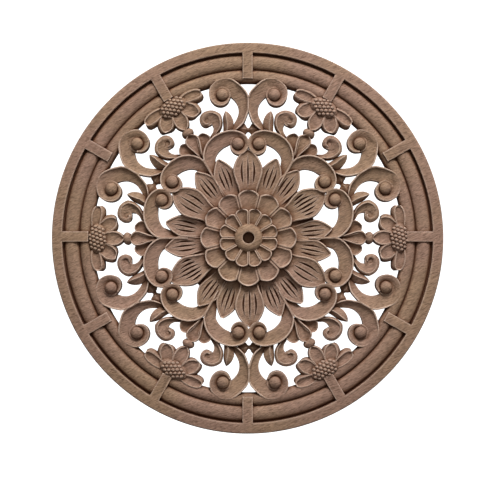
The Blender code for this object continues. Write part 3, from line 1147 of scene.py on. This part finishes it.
@dataclass(frozen=True)
class Carving:
    """The whole rosette, joined from its forms into one piece of wood."""

    rim: Rim = Rim()
    scrollwork: Scrollwork = Scrollwork()
    sunflowers: Sunflowers = Sunflowers()
    flower: MiddleFlower = MiddleFlower()
    drift: Drift = Drift()
    crease_degrees: float = 38.0
    weld: float = 0.02
    shelter_rays: int = 24
    shelter_reach: float = 10.0
    shelter_lift: float = 0.1

    def boolean(self, obj: bpy.types.Object, other: bpy.types.Object, operation: str) -> None:
        """Adds a Boolean, with the solver that also closes forms that cross nearly level.

        Args:
            obj: The object that is changed.
            other: The object it is joined to or cut by.
            operation: UNION or DIFFERENCE.
        """
        modifier = obj.modifiers.new(other.name, "BOOLEAN")
        modifier.operation = operation
        modifier.object = other
        modifier.solver = "MANIFOLD"

    def joined(self) -> bpy.types.Mesh:
        """Cuts the veins of the petals, and unites every form with the rim.

        Returns:
            The mesh of the whole rosette, in millimetres and on its back.
        """
        inside = [family for part in (self.scrollwork, self.sunflowers, self.flower) for family in part.families()]
        cutters = self.flower.vein_cutters()
        for family in (*inside, *cutters.values()):
            self.drift.shift(family)
        made = [family.finish() for family in (*self.rim.families(), *inside)]
        bench = bpy.data.collections.new("bench")
        bpy.context.scene.collection.children.link(bench)
        for obj in made:
            bench.objects.link(obj)
        for name, family in cutters.items():
            cutter = family.finish()
            bench.objects.link(cutter)
            self.boolean(bench.objects[name], cutter, "DIFFERENCE")
        base, *others = made
        for other in others:
            self.boolean(base, other, "UNION")
        bpy.context.view_layer.update()
        graph = bpy.context.evaluated_depsgraph_get()
        mesh = bpy.data.meshes.new_from_object(base.evaluated_get(graph))
        for obj in list(bench.objects):
            bpy.data.objects.remove(obj)
        bpy.data.collections.remove(bench)
        return mesh

    def stand_up(self, mesh: bpy.types.Mesh) -> None:
        """Welds the joints, turns the face towards -Y and shades what is rounded.

        Args:
            mesh: The mesh, which is left in metres.
        """
        bm = bmesh.new()
        bm.from_mesh(mesh)
        bmesh.ops.triangulate(bm, faces=bm.faces)
        bmesh.ops.remove_doubles(bm, verts=bm.verts, dist=self.weld)
        bmesh.ops.scale(bm, verts=bm.verts, vec=(MM, MM, MM))
        bmesh.ops.rotate(bm, verts=bm.verts, matrix=Matrix.Rotation(math.radians(90), 3, "X"))
        bm.to_mesh(mesh)
        bm.free()
        mesh.shade_smooth()
        mesh.set_sharp_from_angle(angle=math.radians(self.crease_degrees))

    def rays(self) -> list[Vector]:
        """Spreads directions evenly over a half ball round the Z axis.

        Returns:
            The directions.
        """
        golden = math.pi * (3 - math.sqrt(5))
        made = []
        for i in range(self.shelter_rays):
            up = math.sqrt(1 - (i + 0.5) / self.shelter_rays)
            flat = math.sqrt(1 - up**2)
            made.append(Vector((flat * math.cos(golden * i), flat * math.sin(golden * i), up)))
        return made

    def mark_shelter(self, mesh: bpy.types.Mesh) -> None:
        """Stores on each corner of the mesh how far the carving round it closes it in, from 0 to 1, for the wood's
        painted shade.

        Args:
            mesh: The finished mesh.
        """
        bm = bmesh.new()
        bm.from_mesh(mesh)
        tree = BVHTree.FromBMesh(bm)
        bm.free()
        rays, reach, lift = self.rays(), self.shelter_reach * MM, self.shelter_lift * MM
        shelter = np.zeros(len(mesh.vertices), np.float32)
        for i, vertex in enumerate(mesh.vertices):
            lean = Vector((0, 0, 1)).rotation_difference(vertex.normal)
            start = vertex.co + vertex.normal * lift
            shelter[i] = sum(1 for ray in rays if tree.ray_cast(start, lean @ ray, reach)[0]) / len(rays)
        layer = mesh.attributes.new("shelter", "FLOAT", "POINT")
        layer.data.foreach_set("value", shelter)

    def build(self, wood: bpy.types.Material) -> bpy.types.Object:
        """Makes the finished piece and lets it stand for the solid.

        Args:
            wood: The material it is dressed in.

        Returns:
            The piece.
        """
        mesh = self.joined()
        self.stand_up(mesh)
        self.mark_shelter(mesh)
        mesh.materials.clear()
        mesh.materials.append(wood)
        mesh.name = "rosette_carving"
        piece = bpy.data.objects.new("rosette_carving", mesh)
        bpy.context.scene.collection.objects.link(piece)
        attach(piece, "root")
        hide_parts(NODE)
        return piece


class Value:
    """A number in a shader graph, which Python's operators work on."""

    def __init__(self, graph: "Graph", socket: bpy.types.NodeSocket) -> None:
        """Wraps a socket of the graph."""
        self.graph = graph
        self.socket = socket

    def maths(self, operation: str, first: "Operand", second: "Operand") -> "Value":
        """A Math node on two operands."""
        node = self.graph.node("ShaderNodeMath", {"operation": operation}, {0: first, 1: second})
        return Value(self.graph, node.outputs[0])

    def __add__(self, other: "Operand") -> "Value":
        """This plus other."""
        return self.maths("ADD", self, other)

    __radd__ = __add__

    def __sub__(self, other: "Operand") -> "Value":
        """This minus other."""
        return self.maths("SUBTRACT", self, other)

    def __rsub__(self, other: "Operand") -> "Value":
        """Other minus this."""
        return self.maths("SUBTRACT", other, self)

    def __mul__(self, other: "Operand") -> "Value":
        """This times other."""
        return self.maths("MULTIPLY", self, other)

    __rmul__ = __mul__

    def between(self, low: float, high: float) -> "Value":
        """Makes a smooth step.

        Args:
            low: Where it is 0.
            high: Where it is 1.

        Returns:
            The step.
        """
        settings = {"interpolation_type": "SMOOTHSTEP"}
        node = self.graph.node("ShaderNodeMapRange", settings, {"Value": self, "From Min": low, "From Max": high})
        return Value(self.graph, node.outputs[0])


Operand = Value | float


class Graph:
    """The node tree of one material."""

    def __init__(self, name: str) -> None:
        """Makes a material with only a shader and its output.

        Args:
            name: The material's name.
        """
        self.material = bpy.data.materials.new(name)
        self.material.use_nodes = True
        self.tree = self.material.node_tree
        self.shader = self.tree.nodes["Principled BSDF"]

    def node(self, kind: str, settings: dict[str, object], inputs: dict[str | int, object]) -> bpy.types.Node:
        """Adds a node.

        Args:
            kind: The node's type.
            settings: Its own settings, which are set first.
            inputs: A number, colour or link for each of its sockets.

        Returns:
            The node.
        """
        node = self.tree.nodes.new(kind)
        for name, setting in settings.items():
            setattr(node, name, setting)
        for name, given in inputs.items():
            self.feed(node.inputs[name], given)
        return node

    def feed(self, socket: bpy.types.NodeSocket, given: object) -> None:
        """Links a socket, or sets it.

        Args:
            socket: The socket.
            given: A value or another socket to link, or a number or colour to set.
        """
        if isinstance(given, Value):
            given = given.socket
        if isinstance(given, bpy.types.NodeSocket):
            self.tree.links.new(given, socket)
        else:
            socket.default_value = given

    def mix(self, factor: Operand, first: object, second: object) -> bpy.types.NodeSocket:
        """A colour between two colours."""
        node = self.node("ShaderNodeMix", {"data_type": "RGBA"}, {0: factor, 6: first, 7: second})
        return node.outputs[2]

    def shade(self, colour: object, factor: Operand) -> bpy.types.NodeSocket:
        """A colour made darker or lighter by a factor."""
        node = self.node("ShaderNodeVectorMath", {"operation": "SCALE"}, {0: colour, "Scale": factor})
        return node.outputs[0]


Colour = tuple[float, float, float, float]


@dataclass(frozen=True)
class CarvedWood:
    """Bare hardwood: a slanting grain and fine dark pores, with painted shade in the hollows and crevices and a
    painted highlight along the edges.
    """

    pink: Colour = (0.283, 0.171, 0.122, 1.0)
    tan: Colour = (0.285, 0.18, 0.112, 1.0)
    # Painted shade: the dark colour laid in the hollows, where the carving round them would shade them.
    hollow: Colour = (0.15, 0.068, 0.034, 1.0)
    # Painted shade: the near-black colour laid in narrow crevices and at the feet of steps.
    crevice_shade: Colour = (0.055, 0.015, 0.004, 1.0)
    pore: Colour = (0.12, 0.058, 0.034, 1.0)
    # Painted highlight: the pale colour laid along convex edges and lips where they would catch the light.
    edge_highlight: Colour = (0.74, 0.56, 0.45, 1.0)
    grain_degrees: float = 24.0
    fibre_size: Triple = (0.0048, 0.0022, 0.00105)
    streak_size: Triple = (0.04, 0.016, 0.004)
    cloud_size: Triple = (0.09, 0.05, 0.07)
    pore_size: Triple = (0.004, 0.002, 0.0011)
    noise_roughness: float = 0.55
    tone: Triple = (0.06, 1.36, 0.46)
    pore_steps: Plan = (0.52, 0.7)
    pore_share: float = 0.4
    cloud_steps: Plan = (0.35, 0.65)
    edge_highlight_steps: Plan = (0.1, 0.55)
    edge_highlight_share: float = 0.75
    hollow_shade_steps: Plan = (0.04, 0.5)
    hollow_shade_share: float = 0.85
    crevice_steps: Plan = (0.2, 0.65)
    crevice_reach: float = 0.004
    edge_highlight_reach: float = 0.0019
    openness_samples: int = 4
    relief_depth: float = 0.0004
    streak_relief: float = 0.2
    pore_relief: float = 0.6
    roughness: float = 0.62
    fibre_roughness: float = 0.12
    specular: float = 0.2

    def noise(self, graph: Graph, place: object, size: Triple, detail: float) -> Value:
        """Lays noise along the grain.

        Args:
            graph: The wood's graph.
            place: The socket of the place on the piece.
            size: The patches' lengths in metres along the grain, into the board and across the grain.
            detail: How many finer octaves it has.

        Returns:
            The noise.
        """
        lengths = {"Rotation": (0, math.radians(-self.grain_degrees), 0), "Scale": size}
        stretched = graph.node("ShaderNodeMapping", {"vector_type": "TEXTURE"}, {"Vector": place, **lengths})
        inputs = {"Vector": stretched.outputs[0], "Scale": 1.0, "Detail": detail, "Roughness": self.noise_roughness}
        return Value(graph, graph.node("ShaderNodeTexNoise", {}, inputs).outputs[0])

    def openness(self, graph: Graph, reach: float, inside: bool) -> Value:
        """Measures how open the surface is.

        Args:
            graph: The wood's graph.
            reach: How far it looks, in metres.
            inside: Whether it looks into the wood behind the surface, or at the space in front of it.

        Returns:
            The openness, from 0 to 1.
        """
        settings = {"samples": self.openness_samples, "inside": inside, "only_local": True}
        node = graph.node("ShaderNodeAmbientOcclusion", settings, {"Distance": reach})
        return Value(graph, node.outputs["AO"])

    def material(self) -> bpy.types.Material:
        """Builds the wood's nodes.

        Returns:
            The material.
        """
        graph = Graph("carved_wood")
        place = graph.node("ShaderNodeTexCoord", {}, {}).outputs["Object"]
        # Painted shade mask: the shelter stored on each corner, high in the hollows.
        shelter = Value(graph, graph.node("ShaderNodeAttribute", {"attribute_name": "shelter"}, {}).outputs["Fac"])
        # Painted shade mask: high where the carving closes in within a few millimetres.
        crevices = 1 - self.openness(graph, self.crevice_reach, inside=False)
        # Painted highlight mask: high along convex edges, found by looking a short way into the wood behind the
        # surface.
        edges = 1 - self.openness(graph, self.edge_highlight_reach, inside=True)
        fibres = self.noise(graph, place, self.fibre_size, 2.0)
        streaks = self.noise(graph, place, self.streak_size, 2.0)
        clouds = self.noise(graph, place, self.cloud_size, 1.0)
        pores = self.noise(graph, place, self.pore_size, 1.0).between(*self.pore_steps)
        ground = graph.mix(clouds.between(*self.cloud_steps), self.pink, self.tan)
        base, by_fibre, by_streak = self.tone
        ground = graph.shade(ground, base + by_fibre * fibres + by_streak * streaks)
        ground = graph.mix(pores * self.pore_share, ground, self.pore)
        # Painted highlight: the colour is lightened towards the pale edge colour along edges and lips.
        ground = graph.mix(edges.between(*self.edge_highlight_steps) * self.edge_highlight_share, ground, self.edge_highlight)
        # Painted shade: sheltered hollows are darkened towards the hollow colour.
        ground = graph.mix(shelter.between(*self.hollow_shade_steps) * self.hollow_shade_share, ground, self.hollow)
        # Painted shade: crevices are darkened towards the crevice shade colour.
        ground = graph.mix(crevices.between(*self.crevice_steps), ground, self.crevice_shade)
        height = fibres + streaks * self.streak_relief - pores * self.pore_relief
        bump = graph.node("ShaderNodeBump", {}, {"Strength": 1.0, "Distance": self.relief_depth, "Height": height})
        graph.feed(graph.shader.inputs["Base Color"], ground)
        graph.feed(graph.shader.inputs["Roughness"], self.roughness + self.fibre_roughness * fibres)
        graph.feed(graph.shader.inputs["Normal"], bump.outputs[0])
        graph.shader.inputs["Specular IOR Level"].default_value = self.specular
        return graph.material


@dataclass(frozen=True)
class Studio:
    """The pale ground, the soft light and the camera."""

    distance: float = 1.3
    elevation: float = -3.0
    rim_pixels: float = 193.8
    centre: Plan = (247.6, 237.3)
    image: float = 500.0
    sensor: float = 36.0
    floor: float = -0.75
    wall_radius: float = 2.4
    wall_top: float = 3.0
    sweep: float = 0.8
    sweep_steps: int = 12
    ground_steps: int = 64
    white: Colour = (1.0, 1.0, 1.0, 1.0)
    pale: Colour = (0.9, 0.9, 0.9, 1.0)
    ground_roughness: float = 0.9
    ground_glow: float = 0.95
    key_place: Triple = (0.3, -1.4, 1.88)
    key_size: Plan = (1.2, 0.8)
    key_power: float = 77.0
    fill_place: Triple = (0.1, -1.7, 0.2)
    fill_size: Plan = (1.2, 1.2)
    fill_power: float = 6.0
    world: float = 0.1

    def camera(self, radius: float) -> None:
        """Puts the camera at the photograph's view.

        Args:
            radius: The rosette's radius in metres.
        """
        data = bpy.data.cameras.new("camera")
        data.sensor_width = self.sensor
        data.lens = self.rim_pixels / radius * self.distance / self.image * self.sensor
        middle = self.image / 2
        data.shift_x = (middle - self.centre[0]) / self.image
        data.shift_y = (self.centre[1] - middle) / self.image
        camera = bpy.data.objects.new("camera", data)
        tilt = math.radians(self.elevation)
        camera.location = (0, -self.distance * math.cos(tilt), self.distance * math.sin(tilt))
        camera.rotation_euler = (math.radians(90) - tilt, 0, 0)
        bpy.context.scene.collection.objects.link(camera)
        bpy.context.scene.camera = camera

    def ground(self) -> None:
        """Lays a pale floor that sweeps up into a wall all round."""
        middle = (self.wall_radius - self.sweep, self.floor + self.sweep)
        corner = arc(middle, (self.sweep, self.sweep), -90, 0, self.sweep_steps)
        profile = [(0.0, self.floor), *corner, (self.wall_radius, self.wall_top)]
        bm = turn_profile(profile, self.ground_steps, closed=False)
        bmesh.ops.reverse_faces(bm, faces=bm.faces)
        mesh = bpy.data.meshes.new("ground")
        bm.to_mesh(mesh)
        bm.free()
        mesh.shade_smooth()
        graph = Graph("pale_ground")
        graph.shader.inputs["Base Color"].default_value = self.pale
        graph.shader.inputs["Roughness"].default_value = self.ground_roughness
        graph.shader.inputs["Emission Color"].default_value = self.white
        graph.shader.inputs["Emission Strength"].default_value = self.ground_glow
        mesh.materials.append(graph.material)
        ground = bpy.data.objects.new("ground", mesh)
        ground.visible_diffuse = False
        ground.visible_glossy = False
        ground.visible_shadow = False
        bpy.context.scene.collection.objects.link(ground)
        ground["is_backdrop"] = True

    def lamp(self, name: str, place: Triple, size: Plan, power: float) -> None:
        """Hangs a soft lamp that faces the rosette.

        Args:
            name: The lamp's name.
            place: Its place in metres.
            size: Its width and height in metres.
            power: Its power in watts.
        """
        data = bpy.data.lights.new(name, "AREA")
        data.shape = "RECTANGLE"
        data.size, data.size_y = size
        data.energy = power
        lamp = bpy.data.objects.new(name, data)
        lamp.location = place
        lamp.rotation_euler = (-Vector(place)).to_track_quat("-Z", "Y").to_euler()
        bpy.context.scene.collection.objects.link(lamp)

    def build(self, radius: float) -> None:
        """Sets the ground, the lamps, the sky's fill and the camera.

        Args:
            radius: The rosette's radius in metres.
        """
        self.ground()
        self.lamp("key", self.key_place, self.key_size, self.key_power)
        self.lamp("fill", self.fill_place, self.fill_size, self.fill_power)
        world = bpy.data.worlds.new("studio")
        world.use_nodes = True
        background = world.node_tree.nodes["Background"]
        background.inputs["Color"].default_value = self.white
        background.inputs["Strength"].default_value = self.world
        bpy.context.scene.world = world
        bpy.context.scene.view_settings.view_transform = "Standard"
        self.camera(radius)


def main() -> None:
    """Builds the rosette and its studio."""
    logging.basicConfig(level=logging.INFO, format="%(message)s")
    solid = [list(corner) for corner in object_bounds()]
    piece = Carving().build(CarvedWood().material())
    log.info("%s: %d triangles", piece.name, len(piece.data.polygons))
    Studio().build(solid[1][0])


if __name__ == "__main__":
    main()
